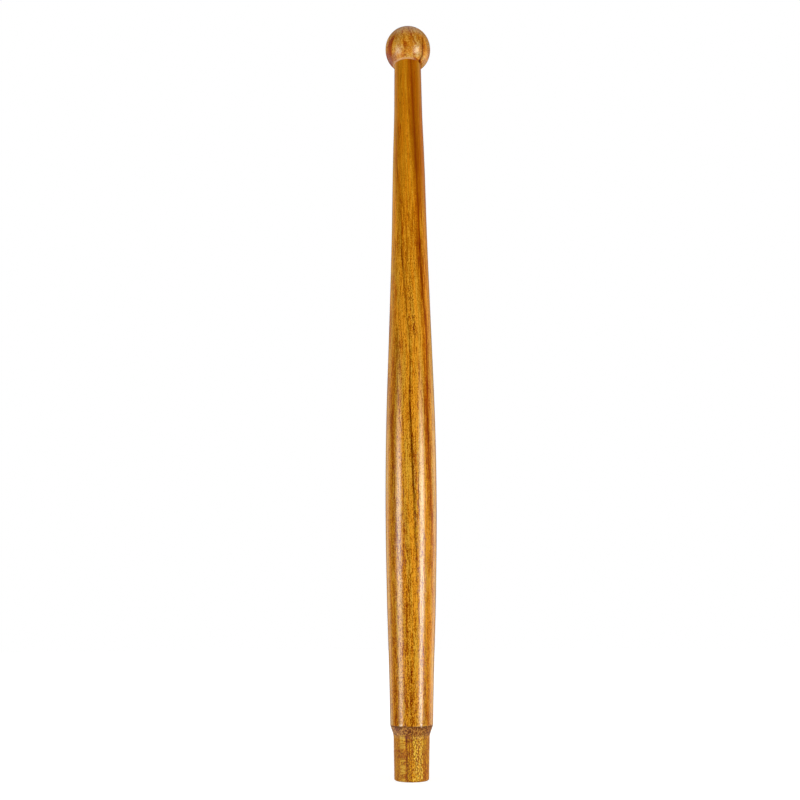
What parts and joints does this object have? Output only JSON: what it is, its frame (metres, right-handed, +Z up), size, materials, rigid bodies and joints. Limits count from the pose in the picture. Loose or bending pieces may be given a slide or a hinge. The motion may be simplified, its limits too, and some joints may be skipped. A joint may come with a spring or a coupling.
{
  "type": "ensign staff",
  "caption": "Turned and varnished wooden flag staff with a reduced heel tenon for a deck socket, a swelling body, a tapered neck and a ball truck on top.",
  "frame": {"origin": "centre of the heel's end face, the lowest point of the staff", "axes": "+Z up along the staff towards the ball; the staff is round, and the main grain lines are set towards -Y"},
  "size_m": [0.039, 0.0388, 0.6],
  "materials": {
    "staff_teak": "teak under glossy varnish, with the grain along the staff",
    "ball_teak": "paler teak under glossy varnish",
    "dowel_beech": "bare fluted beech, matt"
  },
  "bodies": {
    "root": {"staff": "staff_teak", "ball_truck": "ball_teak", "truck_dowel": "dowel_beech"}
  },
  "joints": []
}
